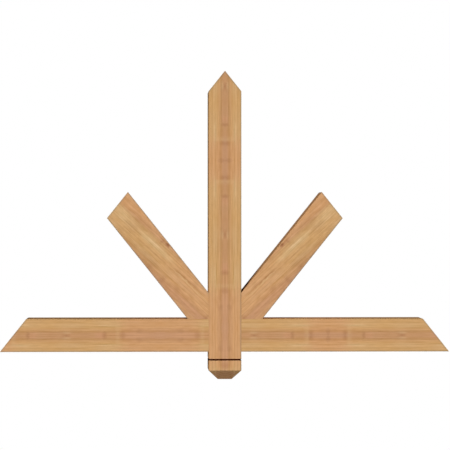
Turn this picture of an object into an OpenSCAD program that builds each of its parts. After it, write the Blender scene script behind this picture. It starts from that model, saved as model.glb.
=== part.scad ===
// Decorative timber gable truss: king post with a chamfered pendant, tie beam in two halves and
// two struts. The timbers meet flush, on hidden joints: a loose tenon runs through the post into
// both halves of the tie beam, dowels hold the struts' feet, and screws from the back pin the tenon.
// Millimetres, +Z up, +X to the right. The front faces -Y and the wall side is the plane y = 0.
// The origin is on the king post's centre line, on the wall side, level with the tie beam's underside.

/* [Truss] */
// Width from tip to tip of the tie beam
truss_width = 1219.2; // [900:0.1:2400]
// Height from the underside of the tie beam to the apex
truss_height = 762; // [500:0.1:1500]

/* [Timber] */
// Width of every planed timber, as seen from the front
timber_face = 88.9; // [75:0.1:130]
// Depth of every planed timber, from the front to the wall
timber_depth = 88.9; // [74:0.1:130]
// Easing of the planed long edges
edge_ease = 0.5; // [0.2:0.1:3]

/* [Pendant] */
// Drop of the king post below the tie beam
pendant_drop = 76.2; // [62:0.1:150]
// Chamfer on the four sides of the king post's foot
pendant_chamfer = 25.4; // [10:0.1:35]
// Distance from the tie beam's underside down to the middle of the saw kerf
kerf_drop = 21.6; // [10:0.1:40]
// Width of the saw kerf
kerf_width = 3.2; // [2:0.1:6]
// Depth of the saw kerf
kerf_depth = 4.8; // [2:0.1:10]

/* [Tie beam joint] */
// Reach of the loose tenon into each half of the tie beam
tenon_reach = 76.2; // [60:0.1:110]
// Height of the loose tenon
tenon_height = 50.8; // [42:0.1:60]
// Thickness of the loose tenon, whose top and bottom edges are round
tenon_thickness = 25.4; // [18:0.1:32]

/* [Strut dowels] */
// Diameter of the dowels
dowel_diameter = 9.5; // [8:0.1:12]
// Length of the dowels
dowel_length = 50.8; // [36:0.1:56]
// Chamfer at both ends of a dowel
dowel_chamfer = 1; // [0.5:0.1:2]
// Number of glue flutes round a dowel
flute_count = 12; // [6:1:16]
// Depth of the glue flutes
flute_depth = 0.4; // [0.2:0.1:0.6]
// Distance between the front and the back dowel of a pair
dowel_spacing = 44.4; // [43:0.1:60]
// Height of the post dowels above the tie beam
post_dowel_rise = 38; // [36:0.1:50]
// Distance of the tie beam dowels from the king post
tie_dowel_reach = 28.5; // [20:0.1:38]

/* [Back screws] */
// Length of the screws
screw_length = 50.8; // [44:0.1:76]
// Diameter of a screw's shank
screw_diameter = 4.8; // [4:0.1:6]
// Diameter of a screw's flat head
screw_head_diameter = 9.3; // [8:0.1:12]
// Depth of the heads below the wall side
screw_sink = 0.5; // [0.2:0.1:2]
// Length of a screw's point
screw_point = 6; // [4:0.1:9]
// Width of the square drive socket
socket_width = 2.8; // [2.4:0.1:3.2]
// Depth of the square drive socket
socket_depth = 2.6; // [2:0.1:3]
// Distance of the screws from the king post and from the loose tenon's ends
screw_end_distance = 25; // [20:0.1:28]
// Height of the outer screws above the inner ones
screw_stagger = 20; // [10:0.1:24]

/* [Fits] */
// Glue room at each end of the loose tenon
tenon_end_gap = 1.6; // [0.5:0.1:4]
// Clearance round the loose tenon, on every side
tenon_gap = 0.1; // [0.05:0.05:0.5]
// Glue room at each end of a dowel
dowel_end_gap = 1.2; // [0.5:0.1:3]
// Clearance between a dowel and its hole, on the radius
dowel_gap = 0.05; // [0.05:0.05:0.3]
// Clearance between a screw and its hole, on the radius
screw_gap = 0.05; // [0.05:0.05:0.3]

/* [Hidden] */
$fn = 48;
half_width = truss_width / 2;
half_face = timber_face / 2;
half_depth = timber_depth / 2;
// The rafters' angle from level. The struts lean by the same angle, the other way.
pitch = atan2(truss_height, half_width);
// Where the centre line of a strut meets the underside of the rafters
strut_end_x = (truss_height - timber_face + half_face * tan(pitch)) / (2 * tan(pitch));
strut_length = (strut_end_x - half_face) / cos(pitch);
tenon_length = timber_face + 2 * tenon_reach;
// How far a timber or a cutting shape reaches past the cut that it makes
past = 5;
screw_head_depth = (screw_head_diameter - screw_diameter) / 2;
screw_point_diameter = 0.6;

hands = [["left", -1], ["right", 1]];
rows = [
    ["front", -half_depth - dowel_spacing / 2],
    ["back", -half_depth + dowel_spacing / 2]];

// Each dowel: its name, the middle of its length and its tilt from upright
post_dowels = [for (hand = hands, row = rows) [
    str(hand[0], "_post_dowel_", row[0]),
    [hand[1] * half_face, row[1], timber_face + post_dowel_rise],
    90]];
tie_dowels = [for (hand = hands, row = rows) [
    str(hand[0], "_tie_dowel_", row[0]),
    [hand[1] * (half_face + tie_dowel_reach), row[1], timber_face],
    0]];
dowels = concat(post_dowels, tie_dowels);

// Each screw: its name and where its axis meets the wall side
inner_screw_x = half_face + screw_end_distance;
outer_screw_x = tenon_length / 2 - screw_end_distance;
inner_screws = [for (hand = hands) [
    str(hand[0], "_inner_screw"), [hand[1] * inner_screw_x, 0, half_face - screw_stagger / 2]]];
outer_screws = [for (hand = hands) [
    str(hand[0], "_outer_screw"), [hand[1] * outer_screw_x, 0, half_face + screw_stagger / 2]]];
screws = concat([["post_screw", [0, 0, half_face]]], inner_screws, outer_screws);

// The pendant's foot in outline, narrowing to its underside. It serves for the front and the side.
function foot_outline(middle, half) = let (
        flat = half - pendant_chamfer,
        wide = half + past,
        start = pendant_chamfer + past - pendant_drop
    ) [
        [middle - flat, -pendant_drop], [middle + flat, -pendant_drop],
        [middle + wide, start], [middle + wide, truss_height + past],
        [middle - wide, truss_height + past], [middle - wide, start]];

// A planed timber with eased long edges. It stands on z = 0 with its back on the wall side.
module planed_timber(length) {
    x = half_face;
    y = half_depth;
    e = edge_ease;
    translate([0, -half_depth, 0])
        linear_extrude(length)
            polygon([
                [x, y - e], [x - e, y], [e - x, y], [-x, y - e],
                [-x, e - y], [e - x, -y], [x - e, -y], [x, e - y]]);
}

// An outline as seen from the front, as a block that reaches past both faces of the truss
module front_block(outline) {
    translate([0, past, 0])
        rotate([90, 0, 0])
            linear_extrude(timber_depth + 2 * past)
                polygon(outline);
}

// An outline as seen from the right, as a block that reaches past both sides of the king post
module side_block(outline) {
    translate([-half_face - past, 0, 0])
        rotate([90, 0, 90])
            linear_extrude(timber_face + 2 * past)
                polygon(outline);
}

// All the room below the rafters. Its two slopes make every cut at the roof pitch.
module below_rafters() {
    low = -pendant_drop - 2 * past;
    front_block([
        [0, truss_height], [half_width, 0], [half_width, low],
        [-half_width, low], [-half_width, 0]]);
}

// The corner above the tie beam and to the right of the king post, which the strut's foot fills
module strut_corner() {
    front_block([
        [half_face, timber_face], [half_width, timber_face],
        [half_width, truss_height], [half_face, truss_height]]);
}

// A bar along X with round top and bottom edges, in the middle of the tie beam
module round_edged_bar(length, height, thickness) {
    translate([0, -half_depth, half_face]) {
        cube([length, thickness, height - thickness], center = true);
        for (side = [-1, 1])
            translate([0, 0, side * (height - thickness) / 2])
                rotate([0, 90, 0])
                    cylinder(h = length, d = thickness, center = true);
    }
}

module dowel_hole(dowel) {
    translate(dowel[1])
        rotate([0, dowel[2], 0])
            cylinder(h = dowel_length + 2 * dowel_end_gap, r = dowel_diameter / 2 + dowel_gap,
                center = true);
}

// A countersunk hole, open on the wall side
module screw_hole(screw) {
    head_r = screw_head_diameter / 2 + screw_gap;
    shank_r = screw_diameter / 2 + screw_gap;
    translate(screw[1])
        rotate([90, 0, 0]) {
            translate([0, 0, -past])
                cylinder(h = past + screw_sink, r = head_r);
            translate([0, 0, screw_sink])
                cylinder(h = screw_head_depth, r1 = head_r, r2 = shank_r);
            cylinder(h = screw_sink + screw_length + screw_gap, r = shank_r);
        }
}

// All that the hidden joints take out of the timbers
module joinery() {
    round_edged_bar(tenon_length + 2 * tenon_end_gap, tenon_height + 2 * tenon_gap,
        tenon_thickness + 2 * tenon_gap);
    for (dowel = dowels)
        dowel_hole(dowel);
    for (screw = screws)
        screw_hole(screw);
}

// The saw kerf, which runs round all four sides of the pendant
module kerf() {
    translate([0, -half_depth, -kerf_drop])
        difference() {
            cube([timber_face + 2 * past, timber_depth + 2 * past, kerf_width], center = true);
            cube([timber_face - 2 * kerf_depth, timber_depth - 2 * kerf_depth,
                kerf_width + 2 * past], center = true);
        }
}

module king_post() {
    color("#C99E6C")
        difference() {
            intersection() {
                translate([0, 0, -pendant_drop - past])
                    planed_timber(pendant_drop + truss_height + 2 * past);
                below_rafters();
                front_block(foot_outline(0, half_face));
                side_block(foot_outline(-half_depth, half_depth));
            }
            kerf();
            joinery();
        }
}

module right_tie_beam() {
    color("#C8A069")
        difference() {
            intersection() {
                translate([half_face, 0, half_face])
                    rotate([0, 90, 0])
                        planed_timber(half_width - half_face);
                below_rafters();
            }
            joinery();
        }
}

module left_tie_beam() {
    mirror([1, 0, 0]) right_tie_beam();
}

module right_strut() {
    color("#CF9F6B")
        difference() {
            intersection() {
                translate([half_face, 0, timber_face])
                    rotate([0, 90 - pitch, 0])
                        translate([0, 0, -past])
                            planed_timber(strut_length + timber_face);
                below_rafters();
                strut_corner();
            }
            joinery();
        }
}

module left_strut() {
    mirror([1, 0, 0]) right_strut();
}

module loose_tenon() {
    color("#B48A58")
        difference() {
            round_edged_bar(tenon_length, tenon_height, tenon_thickness);
            for (screw = screws)
                screw_hole(screw);
        }
}

// A turned dowel with chamfered ends and V-shaped flutes, which let the glue rise past it
module strut_dowel(dowel) {
    r = dowel_diameter / 2;
    h = dowel_length / 2;
    c = dowel_chamfer;
    flute_side = sqrt(2) * flute_depth;
    color("#D9BE92")
        translate(dowel[1])
            rotate([0, dowel[2], 0])
                difference() {
                    rotate_extrude()
                        polygon([[0, -h], [r - c, -h], [r, c - h], [r, h - c], [r - c, h], [0, h]]);
                    for (flute = [1:flute_count])
                        rotate(flute * 360 / flute_count)
                            translate([r, 0, 0])
                                rotate(45)
                                    cube([flute_side, flute_side, 2 * h + past], center = true);
                }
}

// A flat-head wood screw with a square drive, driven in from the wall side
module back_screw(screw) {
    color("#9A9C9E")
        translate(screw[1])
            rotate([90, 0, 0])
                translate([0, 0, screw_sink])
                    difference() {
                        rotate_extrude()
                            polygon([
                                [0, 0],
                                [screw_head_diameter / 2, 0],
                                [screw_diameter / 2, screw_head_depth],
                                [screw_diameter / 2, screw_length - screw_point],
                                [screw_point_diameter / 2, screw_length],
                                [0, screw_length]]);
                        cube([socket_width, socket_width, 2 * socket_depth], center = true);
                    }
}

king_post();
left_tie_beam();
right_tie_beam();
left_strut();
right_strut();
loose_tenon();
for (dowel = dowels)
    strut_dowel(dowel);
for (screw = screws)
    back_screw(screw);
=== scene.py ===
import math

import bpy
from mathutils import Matrix, Vector


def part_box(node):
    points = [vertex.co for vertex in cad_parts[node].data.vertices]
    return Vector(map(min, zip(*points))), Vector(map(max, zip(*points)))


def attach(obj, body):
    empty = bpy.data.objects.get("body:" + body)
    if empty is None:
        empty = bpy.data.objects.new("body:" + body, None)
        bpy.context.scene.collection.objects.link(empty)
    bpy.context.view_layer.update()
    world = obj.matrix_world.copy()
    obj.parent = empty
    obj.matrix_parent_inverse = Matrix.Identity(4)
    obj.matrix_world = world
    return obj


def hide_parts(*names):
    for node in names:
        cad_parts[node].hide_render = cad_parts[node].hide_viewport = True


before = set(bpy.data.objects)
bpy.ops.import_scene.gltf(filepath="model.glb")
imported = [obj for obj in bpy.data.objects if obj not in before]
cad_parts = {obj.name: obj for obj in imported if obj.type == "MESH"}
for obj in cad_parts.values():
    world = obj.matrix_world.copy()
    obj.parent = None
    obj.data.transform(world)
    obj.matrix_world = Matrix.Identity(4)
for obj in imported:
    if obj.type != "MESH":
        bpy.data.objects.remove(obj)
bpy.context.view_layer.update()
tieLow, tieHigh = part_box("right_tie_beam")
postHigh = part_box("king_post")[1]
halfFace = (tieHigh.z - tieLow.z) / 2  # half the width of a planed timber
middleDepth = (tieLow.y + tieHigh.y) / 2  # half way from the front to the wall side
roofPitch = math.degrees(math.atan2(postHigh.z, tieHigh.x))
perMetre = 1000  # mm in a metre: the frame is in metres, and the patterns are in mm
white = (1.0, 1.0, 1.0, 1.0)
mixA, mixB, mixResult = 6, 7, 2  # the places of a Mix node's colour sockets
print("frame loaded:", len(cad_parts), "pieces, roof pitch", round(roofPitch, 2))


# sRGB hex, as a colour picker shows it, to the linear values that Blender's sockets take
def toLinear(hexColour):
    channels = [int(hexColour[i:i + 2], 16) / 255 for i in (1, 3, 5)]
    linear = [c / 12.92 if c <= 0.04045 else ((c + 0.055) / 1.055) ** 2.4 for c in channels]
    return (*linear, 1.0)


# Adds a node, sets its options, and fills its inputs with links or with plain values
def addNode(tree, kind, inputs=None, **options):
    node = tree.nodes.new(kind)
    for option, value in options.items():
        setattr(node, option, value)
    for key, value in (inputs or {}).items():
        if isinstance(value, bpy.types.NodeSocket):
            tree.links.new(value, node.inputs[key])
        else:
            node.inputs[key].default_value = value
    return node


# A new material with an empty node tree
def newMaterial(name):
    material = bpy.data.materials.new(name)
    material.use_nodes = True
    material.node_tree.nodes.clear()
    return material


# Finishes a material's tree with a Principled shader that takes the given inputs
def shadeWith(tree, inputs):
    shader = addNode(tree, "ShaderNodeBsdfPrincipled", inputs)
    addNode(tree, "ShaderNodeOutputMaterial", {"Surface": shader.outputs["BSDF"]})


# Camera: level, and a little to the left of the truss. It turns half way towards the middle, and the
# picture frame moves over to the right for the rest, so that level edges hardly lean.
photoCamera = {
    "place": (-0.19, -4.829, 0.3436),
    "turn": 1.2,  # degrees to the right
    "centreX": 0.0,  # what is in the middle of the picture, at the truss's front
    "focalLength": 139.98,  # mm
    "sensorWidth": 36.0,
}


def makeCamera():
    place = Vector(photoCamera["place"])
    turn = math.radians(photoCamera["turn"])
    middle = Vector((photoCamera["centreX"], tieLow.y, place.z))
    ahead = Matrix.Rotation(turn, 3, "Z") @ (middle - place)  # to the right, away and up
    data = bpy.data.cameras.new("photoCamera")
    data.lens = photoCamera["focalLength"]
    data.sensor_width = photoCamera["sensorWidth"]
    data.shift_x = ahead.x / ahead.y * data.lens / data.sensor_width
    camera = bpy.data.objects.new("photoCamera", data)
    camera.location = place
    camera.rotation_euler = (math.radians(90), 0, -turn)
    bpy.context.scene.collection.objects.link(camera)
    bpy.context.scene.camera = camera


makeCamera()
print("camera placed")

# Studio: a key lamp high on the left and a fill lamp in front light what the photograph shows. A
# lamp behind and one on the right light the sides that it doesn't show.
studio = {
    "keyTowards": (-0.439, -0.626, 0.643),  # from the truss to the lamp
    "keyStrength": 1.71,
    "keyAngle": 8.0,  # degrees across, which sets how soft the shadows are
    "fillTowards": (0.0, -1.0, 0.0),
    "fillStrength": 2.05,
    "fillAngle": 3.0,
    "backTowards": (0.0, 0.95, -0.3),  # from below, so that undersides aren't lost in the dark
    "backStrength": 3.1,
    "backAngle": 20.0,
    "sideTowards": (0.97, 0.15, 0.2),
    "sideStrength": 1.9,
    "sideAngle": 20.0,
    "ambient": 0.012,
}


def addSun(lamp):
    data = bpy.data.lights.new(lamp + "Lamp", "SUN")
    data.energy = studio[lamp + "Strength"]
    data.angle = math.radians(studio[lamp + "Angle"])
    sun = bpy.data.objects.new(lamp + "Lamp", data)
    sun.rotation_euler = Vector(studio[lamp + "Towards"]).to_track_quat("Z", "Y").to_euler()
    bpy.context.scene.collection.objects.link(sun)


# 1 for the rays that the camera, metal and glass send out, 0 for those that only light the object
def seenDirectly(tree):
    path = addNode(tree, "ShaderNodeLightPath")
    gloss = addNode(tree, "ShaderNodeMath", {
        0: path.outputs["Is Camera Ray"], 1: path.outputs["Is Glossy Ray"]}, operation="MAXIMUM")
    return addNode(tree, "ShaderNodeMath", {
        0: gloss.outputs[0], 1: path.outputs["Is Transmission Ray"]}, operation="MAXIMUM").outputs[0]


# White where it is seen directly, and a faint even light on the object
def makeWorld():
    world = bpy.data.worlds.new("whiteStudio")
    bpy.context.scene.world = world
    world.use_nodes = True
    tree = world.node_tree
    tree.nodes.clear()
    ambient = addNode(tree, "ShaderNodeBackground", {"Color": white, "Strength": studio["ambient"]})
    backdrop = addNode(tree, "ShaderNodeBackground", {"Color": white, "Strength": 1.0})
    mixed = addNode(tree, "ShaderNodeMixShader", {
        0: seenDirectly(tree), 1: ambient.outputs[0], 2: backdrop.outputs[0]})
    addNode(tree, "ShaderNodeOutputWorld", {"Surface": mixed.outputs[0]})


# Floor: a round sheet of matt paper well below the truss, which takes its shadow without a shine
# and fades to white at the rim
paperFloor = {
    "height": -0.45,
    "radius": 1.2,
    "fadeFrom": 0.75,  # metres from the middle where the paper starts to melt into the white
    "corners": 96,
    "colour": "#B4B4B2",
    "glow": 0.72,
    "bounceColour": "#6E6C69",  # what it is for the light that it throws back at the object
}


def mattPaper():
    material = newMaterial("matt paper floor")
    tree = material.node_tree
    paper = addNode(tree, "ShaderNodeBsdfDiffuse", {"Color": toLinear(paperFloor["colour"])})
    glow = addNode(tree, "ShaderNodeEmission", {"Color": white, "Strength": paperFloor["glow"]})
    lit = addNode(tree, "ShaderNodeAddShader", {0: paper.outputs[0], 1: glow.outputs[0]})
    rim = addNode(tree, "ShaderNodeEmission", {"Color": white, "Strength": 1.0})
    place = addNode(tree, "ShaderNodeTexCoord")
    away = addNode(tree, "ShaderNodeVectorMath", {0: place.outputs["Object"]}, operation="LENGTH")
    fade = addNode(tree, "ShaderNodeMapRange", {
        "Value": away.outputs["Value"], "From Min": paperFloor["fadeFrom"],
        "From Max": paperFloor["radius"]}, interpolation_type="SMOOTHSTEP")
    shown = addNode(tree, "ShaderNodeMixShader", {
        0: fade.outputs[0], 1: lit.outputs[0], 2: rim.outputs[0]})
    bounce = addNode(tree, "ShaderNodeBsdfDiffuse", {"Color": toLinear(paperFloor["bounceColour"])})
    mixed = addNode(tree, "ShaderNodeMixShader", {
        0: seenDirectly(tree), 1: bounce.outputs[0], 2: shown.outputs[0]})
    addNode(tree, "ShaderNodeOutputMaterial", {"Surface": mixed.outputs[0]})
    return material


def makeFloor():
    bpy.ops.mesh.primitive_circle_add(
        vertices=paperFloor["corners"], radius=paperFloor["radius"], fill_type="NGON",
        location=(0, middleDepth, paperFloor["height"]))
    floor = bpy.context.object
    floor.name = "studioFloor"
    floor.data.materials.append(mattPaper())


bpy.context.scene.view_settings.view_transform = "Standard"
for lamp in ("key", "fill", "back", "side"):
    addSun(lamp)
makeWorld()
makeFloor()
print("studio lit")

# Softwood such as Douglas fir or red cedar, planed on four sides and left bare: a warm tan with no
# shine, straight fine lines along every face, a pinker heart band down the middle, since the pith
# runs along the middle of the timber, and rings on the cut ends. All lengths are in mm.
softwood = {
    # the colour changes with the distance from the pith: heart, its brown rim, and the flanks
    "zones": (44.4, 46.2, 48.1, 50.2),
    "yellow": ("#C09167", "#C69868", "#C79A67", "#CBA16E"),
    "orange": ("#C2916B", "#C6956A", "#C7966A", "#CC9B6D"),
    "darkMark": "#8A5539",
    "paleMark": "#E6CA9C",
    "pinkMark": "#D59A7C",
    "markWarp": (6.0, 3.0),  # how far the rims of knots and patches stray, along and across
    "markWarpScale": 0.09,  # waves of about 11 mm
    "wander": (1.4, 0.98),  # how far the fibres stray, across the face and into the depth
    "wanderLength": 110.0,
    "wanderWidth": 45.0,
    "noiseRange": (0.25, 0.75),  # nearly all values of a noise lie between these
    # width, length and contrast of what runs along the fibres
    "streaks": (7.0, 420.0, 0.05),
    "lines": (3.2, 190.0, 0.09),
    "fibres": (1.3, 40.0, 0.075),  # real fibres are far finer and wouldn't show
    "mottle": (9.0, 22.0),  # each figure gives its contrast
    "tints": (13.0, 70.0, 0.09),
    "tintColour": (0.0, 0.3, 1.0),  # mostly in blue, which makes a patch pinker or yellower
    "shadeColour": (1.0, 1.2, 1.7),  # a dark line is browner than the wood beside it
    "ringSpacing": 5.1,  # real rings are 2 to 4 mm apart, and would be too fine to show
    "ringStart": 46.1,  # the distance from the pith of the dark line at the heart's edge
    "lateWood": (0.5, 0.8, 1.0),  # where in a ring it starts, is darkest and stops
    "endRingContrast": 0.22,
    "endFacing": (0.35, 0.7),  # how far a surface faces along the grain: side and end grain
    "endShade": 0.88,  # cut ends drink the light
    "arrisFacing": (0.1, 0.4),
    "arrisPaintedShade": 0.8,  # painted shade on the eased edges, darkening them evenly all round
    "edgeShadeBand": (2.2, 4.6),  # how far from an edge the painted shade is full, and where it has faded
    "edgeShadeTint": (0.8, 0.88, 1.0, 1.0),
    "kerfShadeColour": "#3A0A00",  # painted shade in and along the kerf, where the light doesn't reach
    "roughness": 0.85,
    "lateWoodRoughness": 0.77,
    "specular": 0.0,  # bare planed wood only scatters the light
    "ior": 1.5,
    "bumpStrength": 0.3,
    "bumpDepth": 0.06,
}

# The figure of king post and tie beam, which runs to and fro between two mirror lines. Its tone
# gives places along it and how orange the wood is there. Each mark fades outward from its middle:
# kind, place along the figure, place across it, the distances along and across at which it has
# faded by half, and its strength.
bookFigure = {
    "length": 454.5,  # from one mirror line to the other
    "tone": [(0, 1.0), (75, 1.0), (135, 0.08), (372, 0.08), (425, 0.95), (454.5, 0.95)],
    "mottleContrast": 0.03,
    "ringContrast": 0.09,
    "runOut": 0.0,  # degrees between the fibres and the timber
    "pithBelow": 0.0,  # how far the pith is below the timber's middle
    "marks": [
        ("dark", 55, 13, 6, 4, 0.18),
        ("dark", 102, 4, 5, 6, 0.22),
        ("pale", 114, 10, 5, 12, 0.16),
        ("pale", 133, 25.5, 24, 1.6, 0.3),
        ("dark", 151, 2, 4, 6, 0.36),
        ("pink", 163, 3, 9, 5, 0.3),
        ("dark", 254, 0, 8, 2.2, 0.4),
        ("pale", 252, 8, 9, 3, 0.15),
        ("pink", 344, 3, 9, 5, 0.25),
        ("dark", 359, 2, 4, 6, 0.34),
        ("pale", 380, 27, 24, 1.6, 0.28),
        ("pale", 397, 10, 5, 12, 0.16),
        ("dark", 409, 4, 5, 6, 0.26),
        ("dark", 454, 10, 3, 8, 0.24),
    ],
}

# The struts' figure doesn't mirror, and their fibres run out through the lower side. The places
# of its marks are along the strut from the corner at its foot, and across from its middle.
strutFigure = {
    "tone": [(-20, 0.9), (100, 0.9), (265, 0.05), (420, 0.1)],
    "mottleContrast": 0.08,
    "ringContrast": 0.05,
    "runOut": 8.4,
    "pithBelow": 14.0,
    "pinkAgain": (86.0, 96.0),  # between these distances from the pith it turns orange again
    "marks": [
        ("pale", 90, 19, 40, 1.4, 0.3),
        ("dark", 97, 25, 13, 3, 0.25),
        ("dark", 136, 17, 20, 1.2, 0.4),
        ("pale", 136, 13, 20, 1.3, 0.3),
        ("dark", 150, 10, 14, 1.0, 0.25),
        ("dark", 225, 38.5, 5, 3, 0.75),
        ("dark", 243, 37, 10, 2, 0.3),
        ("dark", 243, 30, 2.5, 4, 0.25),
        ("pale", 216, 16, 26, 5, 0.38),
        ("pale", 268, 8, 22, 6, 0.4),
        ("pale", 362, -2, 36, 12, 0.25),
        ("dark", 225, -2, 42, 1.6, 0.22),
        ("dark", 290, -14, 40, 1.4, 0.2),
        ("dark", 7, -3, 5, 5, 0.35),
        ("dark", 116, -15, 6, 4, 0.22),
        ("dark", 161, -31, 5, 7, 0.25),
        ("dark", 211, -38, 7, 6, 0.28),
        ("dark", 112, -40, 6, 4, 0.2),
        ("dark", 230, 34, 120, 8, 0.16),
        ("dark", 290, -36, 70, 9, 0.2),
        ("dark", 210, -22, 30, 6, 0.12),
        ("dark", 322, -4, 16, 9, 0.2),
        ("dark", 330, 18, 25, 9, 0.18),
    ],
}

# The five timbers. The origin is where places along and across are counted from, and the figure's
# start is the place along of one of its mirror lines. The grain's angle is in degrees from level.
kingPost = {
    "origin": (0, middleDepth, 0),
    "grainAngle": 90.0,
    "figure": bookFigure,
    "figureStart": 64.0,
    "kerfHeight": -21.6,  # of its middle
    "kerfShadeBand": (1.8, 2.9),  # how far from the kerf's middle the painted shade starts to fade, and ends
}
leftTie = {
    "origin": (0, middleDepth, halfFace),
    "grainAngle": 0.0,
    "figure": bookFigure,
    "figureStart": 176.0,
    "mirrored": True,
}
rightTie = {
    "origin": (0, middleDepth, halfFace),
    "grainAngle": 0.0,
    "figure": bookFigure,
    "figureStart": -174.5,
}
rightStrut = {
    "origin": (halfFace, middleDepth, 2 * halfFace),  # the corner between king post and tie beam
    "grainAngle": roofPitch - strutFigure["runOut"],
    "figure": strutFigure,
}
leftStrut = {
    **rightStrut,
    "mirrored": True,
    "edgeShadeBothSides": True,  # the other timbers get the painted edge shade along their lower or right side only
}
timbers = {
    "king_post": kingPost,
    "left_tie_beam": leftTie,
    "right_tie_beam": rightTie,
    "left_strut": leftStrut,
    "right_strut": rightStrut,
}


# Fills a colour ramp with (position, colour) stops
def setStops(ramp, stops):
    ramp.color_ramp.interpolation = "EASE"
    elements = ramp.color_ramp.elements
    for element, stop in zip(elements, (stops[0], stops[-1])):
        element.position, element.color = stop
    for position, colour in stops[1:-1]:
        elements.new(position).color = colour


# Object coordinates to along the grain, across the face and into the depth
def grainMatrix(timber):
    angle = math.radians(timber["grainAngle"])
    along = Vector((math.cos(angle), 0, math.sin(angle)))
    across = Vector((-math.sin(angle), 0, math.cos(angle)))
    return Matrix((along, across, along.cross(across)))


# A point's place in mm along the grain, across the face and into the depth, counted from the pith,
# and the way its surface faces in the same directions
def grainPlace(tree, timber, place):
    turn = grainMatrix(timber)
    flip = -1.0 if timber.get("mirrored") else 1.0
    fromPith = Vector((0, timber["figure"]["pithBelow"], 0))
    grain = addNode(tree, "ShaderNodeMapping", {
        "Vector": place.outputs["Object"], "Rotation": turn.to_euler(),
        "Location": turn @ Vector(timber["origin"]) * -perMetre + fromPith,
        "Scale": (flip * perMetre, perMetre, perMetre)}, vector_type="POINT")
    facing = addNode(tree, "ShaderNodeMapping", {
        "Vector": place.outputs["Normal"], "Rotation": turn.to_euler(),
        "Scale": (flip, 1, 1)}, vector_type="VECTOR")
    return grain.outputs[0], facing.outputs[0]


# Folds the grain's place to the figure's, which is a mirror image on each side of the pith and to
# and fro along the timber
def foldedPlace(tree, timber, grain):
    straight = addNode(tree, "ShaderNodeSeparateXYZ", {0: grain})
    started = addNode(tree, "ShaderNodeMath", {
        0: straight.outputs["X"], 1: timber["figureStart"]}, operation="SUBTRACT")
    along = addNode(tree, "ShaderNodeMath", {
        0: started.outputs[0], 1: timber["figure"]["length"]}, operation="PINGPONG").outputs[0]
    size = addNode(tree, "ShaderNodeVectorMath", {0: grain}, operation="ABSOLUTE")
    sides = addNode(tree, "ShaderNodeSeparateXYZ", {0: size.outputs[0]})
    folded = addNode(tree, "ShaderNodeCombineXYZ", {
        0: along, 1: sides.outputs["Y"], 2: sides.outputs["Z"]})
    across = addNode(tree, "ShaderNodeMath", {
        0: sides.outputs["Y"], 1: sides.outputs["Z"]}, operation="MINIMUM")
    return folded.outputs[0], along, across.outputs[0]


# The fibres stray a little from straight
def strayingFibres(tree, grain):
    look = softwood
    slow = addNode(tree, "ShaderNodeVectorMath", {0: grain, 1: (
        1 / look["wanderLength"], 1 / look["wanderWidth"], 1 / look["wanderWidth"])},
        operation="MULTIPLY")
    drift = addNode(tree, "ShaderNodeTexNoise", {
        "Vector": slow.outputs[0], "Scale": 1.0, "Detail": 1.0})
    across, deep = look["wander"]
    stray = addNode(tree, "ShaderNodeVectorMath", {
        0: drift.outputs["Color"], 1: (0, 2 * across, 2 * deep), 2: (0, -across, -deep)},
        operation="MULTIPLY_ADD")
    return addNode(tree, "ShaderNodeVectorMath", {
        0: grain, 1: stray.outputs[0]}, operation="ADD").outputs[0]


# The distance from a line along the grain, which is the pith
def distanceFromPith(tree, place):
    section = addNode(tree, "ShaderNodeVectorMath", {0: place, 1: (0, 1, 1)}, operation="MULTIPLY")
    return addNode(tree, "ShaderNodeVectorMath", {
        0: section.outputs[0]}, operation="LENGTH").outputs["Value"]


# The wood's own colour: heart, rim and flank by the distance from the pith, in a yellower or a more
# orange tone by the place along the timber
def zoneColour(tree, figure, along, radius):
    start, end = figure["tone"][0][0], figure["tone"][-1][0]
    share = addNode(tree, "ShaderNodeMapRange", {"Value": along, "From Min": start, "From Max": end})
    ramp = addNode(tree, "ShaderNodeValToRGB", {0: share.outputs[0]})
    setStops(ramp, [((place - start) / (end - start), (orange, orange, orange, 1))
                    for place, orange in figure["tone"]])
    tone = ramp.outputs["Color"]
    if "pinkAgain" in figure:
        outer = addNode(tree, "ShaderNodeMapRange", {
            "Value": radius, "From Min": figure["pinkAgain"][0], "From Max": figure["pinkAgain"][1]},
            interpolation_type="SMOOTHSTEP")
        tone = addNode(tree, "ShaderNodeMath", {
            0: tone, 1: outer.outputs[0]}, operation="MAXIMUM").outputs[0]

    zones = softwood["zones"]
    zone = addNode(tree, "ShaderNodeMapRange", {
        "Value": radius, "From Min": zones[0], "From Max": zones[-1]})
    tones = []
    for kind in ("yellow", "orange"):
        ramp = addNode(tree, "ShaderNodeValToRGB", {0: zone.outputs[0]})
        setStops(ramp, [((distance - zones[0]) / (zones[-1] - zones[0]), toLinear(colour))
                        for distance, colour in zip(zones, softwood[kind])])
        tones.append(ramp.outputs["Color"])
    return addNode(tree, "ShaderNodeMix", {
        "Factor": tone, mixA: tones[0], mixB: tones[1]}, data_type="RGBA").outputs[mixResult]


# How much a surface is end grain, and how much painted shade it gets as an eased edge, both told by
# the way that it faces
def cutEndsAndArrises(tree, facing):
    look = softwood
    square = addNode(tree, "ShaderNodeVectorMath", {0: facing}, operation="ABSOLUTE")
    turned = addNode(tree, "ShaderNodeSeparateXYZ", {0: square.outputs[0]})
    endGrain = addNode(tree, "ShaderNodeMapRange", {
        "Value": turned.outputs["X"], "From Min": look["endFacing"][0],
        "From Max": look["endFacing"][1]}, interpolation_type="SMOOTHSTEP")
    corner = addNode(tree, "ShaderNodeMath", {
        0: turned.outputs["Y"], 1: turned.outputs["Z"]}, operation="MULTIPLY")
    # painted shade on the eased edges, by the way that they face
    paintedArrisShade = addNode(tree, "ShaderNodeMapRange", {
        "Value": corner.outputs[0], "From Min": look["arrisFacing"][0],
        "From Max": look["arrisFacing"][1], "To Min": 1.0, "To Max": look["arrisPaintedShade"]})
    return endGrain.outputs[0], paintedArrisShade.outputs[0]


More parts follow.
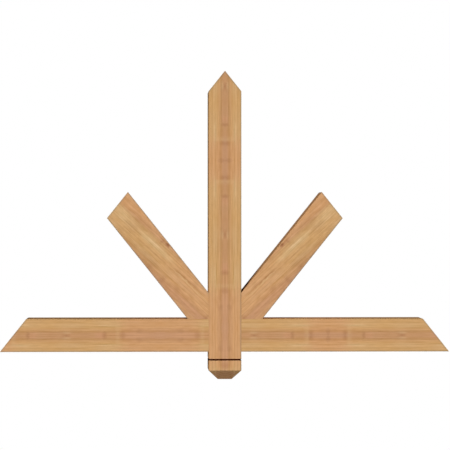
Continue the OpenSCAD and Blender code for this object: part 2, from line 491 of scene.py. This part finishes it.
# Growth rings: each one darkens slowly to its late wood, then stops short
def growthRings(tree, radius):
    look = softwood
    dark = look["lateWood"][1]
    rings = addNode(tree, "ShaderNodeMath", {
        0: radius, 1: 1 / look["ringSpacing"],
        2: dark - look["ringStart"] / look["ringSpacing"] % 1}, operation="MULTIPLY_ADD")
    phase = addNode(tree, "ShaderNodeMath", {0: rings.outputs[0]}, operation="FRACT")
    ramp = addNode(tree, "ShaderNodeValToRGB", {0: phase.outputs[0]})
    setStops(ramp, list(zip(look["lateWood"], ((0, 0, 0, 1), white, (0, 0, 0, 1)))))
    return ramp.outputs["Color"]


# A noise stretched along the fibres, from minus its contrast to its contrast
def stretchedNoise(tree, fibre, width, length, contrast):
    stretched = addNode(tree, "ShaderNodeVectorMath", {
        0: fibre, 1: (1 / length, 1 / width, 1 / width)}, operation="MULTIPLY")
    noise = addNode(tree, "ShaderNodeTexNoise", {
        "Vector": stretched.outputs[0], "Scale": 1.0, "Detail": 2.0})
    low, high = softwood["noiseRange"]
    return addNode(tree, "ShaderNodeMapRange", {
        "Value": noise.outputs[0], "From Min": low, "From Max": high,
        "To Min": -contrast, "To Max": contrast}).outputs[0]


# A mark's place along and across its timber, turned to follow the fibres
def alongFibres(figure, along, across):
    turn = math.radians(figure["runOut"])
    return (
        along * math.cos(turn) - across * math.sin(turn),
        along * math.sin(turn) + across * math.cos(turn) + figure["pithBelow"])


# Mixes knots, flecks and pale or pink patches into the colour
def addMarks(tree, figure, grain, along, across, colour):
    onFace = addNode(tree, "ShaderNodeCombineXYZ", {0: along, 1: across})
    ragged = addNode(tree, "ShaderNodeTexNoise", {
        "Vector": grain, "Scale": softwood["markWarpScale"], "Detail": 2.0})
    warpAlong, warpAcross = softwood["markWarp"]
    warp = addNode(tree, "ShaderNodeVectorMath", {
        0: ragged.outputs["Color"], 1: (2 * warpAlong, 2 * warpAcross, 0),
        2: (-warpAlong, -warpAcross, 0)}, operation="MULTIPLY_ADD")
    warped = addNode(tree, "ShaderNodeVectorMath", {
        0: onFace.outputs[0], 1: warp.outputs[0]}, operation="ADD")
    total = {}
    for kind, markAlong, markAcross, halfLength, halfWidth, strength in figure["marks"]:
        x, y = alongFibres(figure, markAlong, markAcross)
        local = addNode(tree, "ShaderNodeVectorMath", {
            0: warped.outputs[0], 1: (0.5 / halfLength, 0.5 / halfWidth, 0),
            2: (-0.5 * x / halfLength, -0.5 * y / halfWidth, 0)}, operation="MULTIPLY_ADD")
        spot = addNode(tree, "ShaderNodeTexGradient", {0: local.outputs[0]}, gradient_type="SPHERICAL")
        total[kind] = addNode(tree, "ShaderNodeMath", {
            0: spot.outputs["Fac"], 1: strength, 2: total.get(kind, 0.0)},
            operation="MULTIPLY_ADD", use_clamp=True).outputs[0]
    for kind, amount in total.items():
        colour = addNode(tree, "ShaderNodeMix", {
            "Factor": amount, mixA: colour, mixB: toLinear(softwood[kind + "Mark"])},
            data_type="RGBA").outputs[mixResult]
    return colour


# A painted shade, a greyer and darker tint close to the wood's edges: front and back along one or both
# of its long sides, and round the cuts that follow the roof. Those cuts lie in two planes, one on each
# side of the post.
def paintedEdgeShade(tree, timber, place, grain, endGrain):
    look = softwood
    figure = timber["figure"]
    runOut = math.radians(figure["runOut"])
    lift = addNode(tree, "ShaderNodeVectorMath", {
        0: grain, 1: (-math.sin(runOut), math.cos(runOut), 0)}, operation="DOT_PRODUCT")
    side = addNode(tree, "ShaderNodeMath", {
        0: figure["pithBelow"] * math.cos(runOut), 1: lift.outputs["Value"]}, operation="SUBTRACT")
    if timber.get("edgeShadeBothSides"):
        side = addNode(tree, "ShaderNodeMath", {0: side.outputs[0]}, operation="ABSOLUTE")
    straight = addNode(tree, "ShaderNodeSeparateXYZ", {0: grain})
    depth = addNode(tree, "ShaderNodeMath", {0: straight.outputs["Z"]}, operation="ABSOLUTE")
    longEdge = addNode(tree, "ShaderNodeMath", {
        0: side.outputs[0], 1: depth.outputs[0]}, operation="MINIMUM")

    pitch = math.radians(roofPitch)
    spread = addNode(tree, "ShaderNodeVectorMath", {0: place.outputs["Object"]}, operation="ABSOLUTE")
    towardsRoof = addNode(tree, "ShaderNodeVectorMath", {
        0: spread.outputs[0], 1: (perMetre * math.sin(pitch), 0, perMetre * math.cos(pitch))},
        operation="DOT_PRODUCT")
    cutEdge = addNode(tree, "ShaderNodeMath", {
        0: towardsRoof.outputs["Value"],
        1: perMetre * (halfFace - tieHigh.x * math.sin(pitch))}, operation="ADD")
    edge = addNode(tree, "ShaderNodeMath", {
        0: longEdge.outputs[0], 1: cutEdge.outputs[0]}, operation="MAXIMUM")
    shadeFrom, shadeTo = (perMetre * halfFace - distance for distance in look["edgeShadeBand"])
    edgeShadeRamp = addNode(tree, "ShaderNodeMapRange", {
        "Value": edge.outputs[0], "From Min": shadeTo, "From Max": shadeFrom},
        interpolation_type="SMOOTHSTEP")
    onSides = addNode(tree, "ShaderNodeMath", {0: 1.0, 1: endGrain}, operation="SUBTRACT")
    share = addNode(tree, "ShaderNodeMath", {
        0: edgeShadeRamp.outputs[0], 1: onSides.outputs[0]}, operation="MULTIPLY")
    # the painted edge shade: a grey tint mixed in near the edges
    return addNode(tree, "ShaderNodeMix", {
        "Factor": share.outputs[0], mixA: white, mixB: look["edgeShadeTint"]},
        data_type="RGBA").outputs[mixResult]


# The saw kerf round the pendant, with a nearly black painted shade inside it and along its lips
def paintKerfShade(tree, timber, grain, colour):
    faded, unshaded = timber["kerfShadeBand"]
    straight = addNode(tree, "ShaderNodeSeparateXYZ", {0: grain})
    above = addNode(tree, "ShaderNodeMath", {
        0: straight.outputs["X"], 1: timber["kerfHeight"]}, operation="SUBTRACT")
    away = addNode(tree, "ShaderNodeMath", {0: above.outputs[0]}, operation="ABSOLUTE")
    kerfShade = addNode(tree, "ShaderNodeMapRange", {
        "Value": away.outputs[0], "From Min": faded, "From Max": unshaded,
        "To Min": 1.0, "To Max": 0.0})
    # nearly black painted shade over the kerf
    return addNode(tree, "ShaderNodeMix", {
        "Factor": kerfShade.outputs[0], mixA: colour, mixB: toLinear(softwood["kerfShadeColour"])},
        data_type="RGBA").outputs[mixResult]


# The material of one timber
def planedSoftwood(name, timber):
    look = softwood
    figure = timber["figure"]
    material = newMaterial(name)
    tree = material.node_tree
    place = addNode(tree, "ShaderNodeTexCoord")
    grain, facing = grainPlace(tree, timber, place)
    endGrain, paintedArrisShade = cutEndsAndArrises(tree, facing)
    edgeShadeTint = paintedEdgeShade(tree, timber, place, grain, endGrain)
    if "length" in figure:
        figured, along, across = foldedPlace(tree, timber, grain)
    else:
        straight = addNode(tree, "ShaderNodeSeparateXYZ", {0: grain})
        figured, along, across = grain, straight.outputs["X"], straight.outputs["Y"]
    fibre = strayingFibres(tree, figured)
    radius = distanceFromPith(tree, fibre)
    colour = zoneColour(tree, figure, along, radius)
    colour = addMarks(tree, figure, figured, along, across, colour)

    # rings show more on the cut ends
    ring = growthRings(tree, radius)
    ringDepth = addNode(tree, "ShaderNodeMapRange", {
        "Value": endGrain, "To Min": figure["ringContrast"], "To Max": look["endRingContrast"]})
    ringShade = addNode(tree, "ShaderNodeMath", {
        0: ring, 1: ringDepth.outputs[0]}, operation="MULTIPLY")

    # all the shades together, as one factor for each of red, green and blue
    streaks = stretchedNoise(tree, fibre, *look["streaks"])
    lines = stretchedNoise(tree, fibre, *look["lines"])
    fibres = stretchedNoise(tree, fibre, *look["fibres"])
    mottle = stretchedNoise(tree, fibre, *look["mottle"], figure["mottleContrast"])
    tint = stretchedNoise(tree, fibre, *look["tints"])
    shade = addNode(tree, "ShaderNodeMath", {
        0: ringShade.outputs[0], 1: -1.0}, operation="MULTIPLY").outputs[0]
    for extra in (streaks, lines, fibres, mottle):
        shade = addNode(tree, "ShaderNodeMath", {0: shade, 1: extra}, operation="ADD").outputs[0]
    warmth = addNode(tree, "ShaderNodeVectorMath", {
        0: tint, 1: look["tintColour"], 2: (1, 1, 1)}, operation="MULTIPLY_ADD")
    shades = addNode(tree, "ShaderNodeVectorMath", {
        0: shade, 1: look["shadeColour"], 2: warmth.outputs[0]}, operation="MULTIPLY_ADD")
    shaded = addNode(tree, "ShaderNodeVectorMath", {
        0: colour, 1: shades.outputs[0]}, operation="MULTIPLY")
    # painted shade along the edges
    edgeShaded = addNode(tree, "ShaderNodeVectorMath", {
        0: shaded.outputs[0], 1: edgeShadeTint}, operation="MULTIPLY")
    endShade = addNode(tree, "ShaderNodeMapRange", {
        "Value": endGrain, "To Min": 1.0, "To Max": look["endShade"]})
    # real end grain is darker, and the eased edges get their painted shade here
    endGrainAndEdgeShade = addNode(tree, "ShaderNodeMath", {
        0: paintedArrisShade, 1: endShade.outputs[0]}, operation="MULTIPLY")
    finished = addNode(tree, "ShaderNodeVectorMath", {
        0: edgeShaded.outputs[0], "Scale": endGrainAndEdgeShade.outputs[0]}, operation="SCALE").outputs[0]
    # the painted shade in the kerf
    if "kerfHeight" in timber:
        finished = paintKerfShade(tree, timber, grain, finished)

    # the late wood is denser and a little smoother, and stands a hair proud of the planed face
    rough = addNode(tree, "ShaderNodeMapRange", {
        "Value": ring, "To Min": look["roughness"], "To Max": look["lateWoodRoughness"]})
    height = addNode(tree, "ShaderNodeMath", {0: fibres, 1: ring}, operation="ADD")
    bump = addNode(tree, "ShaderNodeBump", {
        "Strength": look["bumpStrength"], "Distance": look["bumpDepth"] / perMetre,
        "Height": height.outputs[0]})
    shadeWith(tree, {
        "Base Color": finished, "Roughness": rough.outputs[0], "IOR": look["ior"],
        "Specular IOR Level": look["specular"], "Normal": bump.outputs[0]})
    return material


def paint(node, material):
    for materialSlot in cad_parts[node].material_slots:
        materialSlot.material = material


for node, timber in timbers.items():
    paint(node, planedSoftwood("planed softwood " + node.replace("_", " "), timber))
print("timbers finished")

# The hidden pieces of hardwood. Oak, sawn and planed by machine, for the loose tenon: brown, with
# dark open pores in short dashes along the grain, crowded into the early wood of each ring.
oak = {
    "colour": "#B48A58",
    "ringColour": "#9A7040",
    "poreColour": "#5F4226",
    "ringSpacing": 3.4,
    "poreLength": 9.0,
    "poreWidth": 0.7,  # real pores are 0.3 mm wide, which would be too fine to show
    "poreShare": (0.42, 0.3),  # how much of the noise is a pore, early and late in a ring
    "poreDepth": 0.15,
    "pithAway": 62.0,  # mm from the piece's own lengthwise line
    "roughness": 0.6,
}

# Beech, turned to rods and fluted, for the dowels: pale and close, with small brown ray flecks and
# no open pores, and smoother than the oak since the cutter burnishes it.
beech = {
    "colour": "#D9BE92",
    "ringColour": "#CBAA78",
    "poreColour": "#A97B4C",
    "ringSpacing": 2.2,
    "poreLength": 2.4,
    "poreWidth": 0.5,  # real flecks are 0.2 mm wide, which would be too fine to show
    "poreShare": (0.38, 0.26),
    "poreDepth": 0.02,
    "pithAway": 48.0,
    "roughness": 0.45,
}

# What both have in common
hardwood = {
    "ior": 1.5,
    "waveScale": 0.03,  # the rings waver over about 33 mm
    "poreSharpness": 12.0,
    "bumpStrength": 0.5,
}


# A hardwood whose grain is at the given angle, in degrees from level. Its coordinates are in mm.
def machinedHardwood(name, look, grainAngle):
    material = newMaterial(name)
    tree = material.node_tree
    place = addNode(tree, "ShaderNodeTexCoord")
    turned = addNode(tree, "ShaderNodeMapping", {
        "Vector": place.outputs["Object"], "Rotation": (0, math.radians(grainAngle), 0),
        "Location": (0, look["pithAway"], 0), "Scale": (perMetre, perMetre, perMetre)}).outputs[0]

    # rings round a pith beside the piece
    wave = addNode(tree, "ShaderNodeTexNoise", {
        "Vector": turned, "Scale": hardwood["waveScale"], "Detail": 1.0})
    rings = addNode(tree, "ShaderNodeMath", {
        0: distanceFromPith(tree, turned), 1: 1 / look["ringSpacing"], 2: wave.outputs[0]},
        operation="MULTIPLY_ADD")
    phase = addNode(tree, "ShaderNodeMath", {0: rings.outputs[0]}, operation="FRACT").outputs[0]

    # pores or flecks that follow the grain, where the noise is below the ring's share of them
    dashed = addNode(tree, "ShaderNodeVectorMath", {0: turned, 1: (
        1 / look["poreLength"], 1 / look["poreWidth"], 1 / look["poreWidth"])}, operation="MULTIPLY")
    dashes = addNode(tree, "ShaderNodeTexNoise", {
        "Vector": dashed.outputs[0], "Scale": 1.0, "Detail": 0.0})
    edge = addNode(tree, "ShaderNodeMapRange", {
        "Value": phase, "To Min": look["poreShare"][0], "To Max": look["poreShare"][1]})
    depth = addNode(tree, "ShaderNodeMath", {
        0: edge.outputs[0], 1: dashes.outputs[0]}, operation="SUBTRACT")
    pore = addNode(tree, "ShaderNodeMath", {
        0: depth.outputs[0], 1: hardwood["poreSharpness"]}, operation="MULTIPLY", use_clamp=True)

    banded = addNode(tree, "ShaderNodeMix", {
        "Factor": phase, mixA: toLinear(look["colour"]), mixB: toLinear(look["ringColour"])},
        data_type="RGBA")
    flecked = addNode(tree, "ShaderNodeMix", {
        "Factor": pore.outputs[0], mixA: banded.outputs[mixResult],
        mixB: toLinear(look["poreColour"])}, data_type="RGBA")
    bump = addNode(tree, "ShaderNodeBump", {
        "Strength": hardwood["bumpStrength"], "Distance": look["poreDepth"] / perMetre,
        "Height": pore.outputs[0]}, invert=True)
    shadeWith(tree, {
        "Base Color": flecked.outputs[mixResult], "Roughness": look["roughness"],
        "IOR": hardwood["ior"], "Normal": bump.outputs[0]})
    return material


paint("loose_tenon", machinedHardwood("machined oak", oak, 0))
dowelMaterials = {
    "post": machinedHardwood("turned beech, grain level", beech, 0),
    "tie": machinedHardwood("turned beech, grain upright", beech, 90),
}
for side in ("left", "right"):
    for member, material in dowelMaterials.items():
        for depthName in ("front", "back"):
            paint(side + "_" + member + "_dowel_" + depthName, material)
print("tenon and dowels finished")

# Countersunk wood screws with a square socket. Lengths are in mm, from the face of the head.
woodScrew = {
    "socketSide": 2.8,
    "socketDepth": 2.6,
    "headEdge": 0.12,  # thickness of the rim before the countersink starts
    "countersinkEnd": 2.25,
    "shankRadius": 2.4,
    "threadStart": 17.5,
    "threadRunIn": 2.4,  # length over which the thread rises from the shank
    "pointLength": 6.0,
    "pointCurve": 0.8,  # 1 is a straight cone, and less is rounder
    "coreShare": 0.68,  # the thread's core to its outer diameter
    "pitch": 2.1,
    "threadWidth": 0.6,  # of the pitch, at the core
    "ringPoints": 48,
    "ringsPerTurn": 12,
    "sharpAngle": 32,  # degrees between two faces, above which their edge stays sharp
}


# The radius of a screw's threaded part at a distance from its head and an angle round it
def threadRadius(outer, length, away, angle):
    look = woodScrew
    core = outer * look["coreShare"]
    taper = min(1.0, max(0.0, (length - away) / look["pointLength"])) ** look["pointCurve"]
    rise = min(1.0, max(0.0, (away - look["threadStart"]) / look["threadRunIn"]))
    phase = (away / look["pitch"] - angle / math.tau) % 1.0
    tooth = max(0.0, 1 - abs(phase - 0.5) / (look["threadWidth"] / 2))
    shank = core + (1 - rise) * (outer - core)
    return (shank + rise * (outer - core) * tooth) * taper


# The rings of a screw from the floor of its socket to its point: each one is a list of (distance
# from the head, angle, radius)
def screwRings(headRadius, length):
    look = woodScrew
    count = look["ringPoints"]
    shankRadius = look["shankRadius"]
    angles = [math.tau * index / count for index in range(count)]
    half = look["socketSide"] / 2
    socket = [(angle, half / max(abs(math.cos(angle)), abs(math.sin(angle)))) for angle in angles]
    rings = [[(away, angle, reach) for angle, reach in socket] for away in (look["socketDepth"], 0.0)]
    rim = look["headEdge"]
    for away, radius in (
            (0.0, headRadius - rim), (rim / 2, headRadius), (rim, headRadius),
            (look["countersinkEnd"], shankRadius), (look["threadStart"] - look["pitch"], shankRadius)):
        rings.append([(away, angle, radius) for angle in angles])

    # along the thread each point is moved on by its share of a turn, so that the crest is sharp, and
    # the last ring stays clear of the point
    step = look["pitch"] / look["ringsPerTurn"]
    away = look["threadStart"]
    while away < length - 2 * step:
        ring = []
        for index, angle in enumerate(angles):
            moved = away + step * ((index * look["ringsPerTurn"] / count) % 1.0)
            ring.append((moved, angle, threadRadius(shankRadius, length, moved, angle)))
        rings.append(ring)
        away += step
    return rings


def makeScrew(node, material):
    low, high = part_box(node)
    length = (high.y - low.y) * perMetre
    headRadius = (high.x - low.x) / 2 * perMetre
    rings = screwRings(headRadius, length)
    centre = Vector(((low.x + high.x) / 2, high.y, (low.z + high.z) / 2))
    points = [centre - Vector((0, woodScrew["socketDepth"] / perMetre, 0))]
    for ring in rings:
        for away, angle, radius in ring:
            offset = Vector((radius * math.cos(angle), -away, radius * math.sin(angle)))
            points.append(centre + offset / perMetre)
    points.append(centre - Vector((0, length / perMetre, 0)))

    # a fan on the socket's floor, a fan at the point, and two triangles between every four points
    count = woodScrew["ringPoints"]
    last = len(points) - 1
    faces = []
    for index in range(count):
        after = (index + 1) % count
        faces.append((0, 1 + after, 1 + index))
        faces.append((last, last - count + index, last - count + after))
        for start in range(1, last - count, count):
            faces.append((start + index, start + count + after, start + count + index))
            faces.append((start + index, start + after, start + count + after))
    mesh = bpy.data.meshes.new("threaded_" + node)
    mesh.from_pydata(points, [], faces)
    mesh.shade_smooth()
    mesh.set_sharp_from_angle(angle=math.radians(woodScrew["sharpAngle"]))
    mesh.materials.append(material)
    screw = bpy.data.objects.new("threaded_" + node, mesh)
    bpy.context.scene.collection.objects.link(screw)
    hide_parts(node)
    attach(screw, "root")


# Steel, rolled to a thread and plated with zinc: a soft grey shine with faint marks that run round
# the axis
zincPlating = {
    "colour": "#949496",
    "markColour": "#7C7C80",
    "markWidth": 0.5,  # mm. Real rolling marks are finer and wouldn't show.
    "markLength": 8.333,
    "roughness": (0.45, 0.6),
    "bumpStrength": 0.2,
    "bumpDepth": 0.02,
}


def zincPlatedSteel():
    look = zincPlating
    material = newMaterial("zinc-plated rolled steel")
    tree = material.node_tree
    place = addNode(tree, "ShaderNodeTexCoord")
    banded = addNode(tree, "ShaderNodeVectorMath", {
        0: place.outputs["Object"], 1: (
            perMetre / look["markLength"], perMetre / look["markWidth"],
            perMetre / look["markLength"])}, operation="MULTIPLY")
    marks = addNode(tree, "ShaderNodeTexNoise", {
        "Vector": banded.outputs[0], "Scale": 1.0, "Detail": 2.0}).outputs[0]
    colour = addNode(tree, "ShaderNodeMix", {
        "Factor": marks, mixA: toLinear(look["colour"]), mixB: toLinear(look["markColour"])},
        data_type="RGBA")
    rough = addNode(tree, "ShaderNodeMapRange", {
        "Value": marks, "To Min": look["roughness"][0], "To Max": look["roughness"][1]})
    bump = addNode(tree, "ShaderNodeBump", {
        "Strength": look["bumpStrength"], "Distance": look["bumpDepth"] / perMetre, "Height": marks})
    shadeWith(tree, {
        "Base Color": colour.outputs[mixResult], "Metallic": 1.0, "Roughness": rough.outputs[0],
        "Normal": bump.outputs[0]})
    return material


screwMaterial = zincPlatedSteel()
for screwName in ("post", "left_inner", "right_inner", "left_outer", "right_outer"):
    makeScrew(screwName + "_screw", screwMaterial)
print("screws made")
